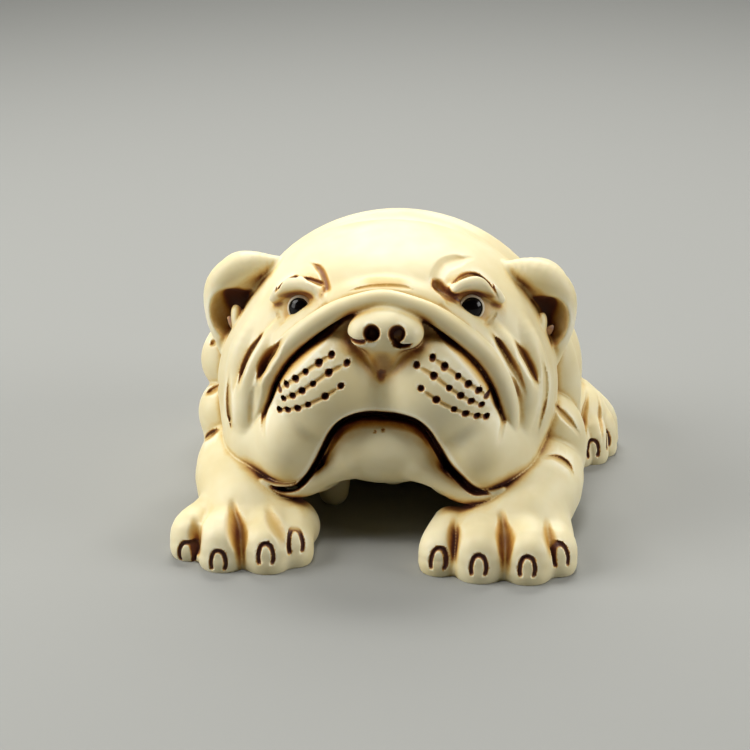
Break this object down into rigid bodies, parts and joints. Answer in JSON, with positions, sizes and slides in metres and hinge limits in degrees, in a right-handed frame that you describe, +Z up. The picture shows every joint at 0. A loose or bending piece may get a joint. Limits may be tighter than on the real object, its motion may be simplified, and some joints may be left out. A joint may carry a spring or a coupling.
{
  "type": "dog figurine",
  "caption": "Carved crouching bulldog figurine with a wrinkled face, folded ears, stained recesses and inlaid eyes; rests flat on its belly and paws.",
  "frame": {"origin": "the flat face that the belly rests on, on the dog's centre plane", "axes": "+Z up; the dog faces -Y, so its rump is towards +Y and its left side is +X"},
  "size_m": [0.048, 0.0509, 0.0299],
  "materials": {
    "ivory_body": "satin polish, cream, with brown stain in the recesses",
    "pale_inlay": "polished, pale",
    "dark_inlay": "gloss, near black"
  },
  "bodies": {
    "root": {"carved_body": "ivory_body", "left_eyeball": "pale_inlay", "right_eyeball": "pale_inlay", "left_pupil": "dark_inlay", "right_pupil": "dark_inlay"}
  },
  "joints": []
}
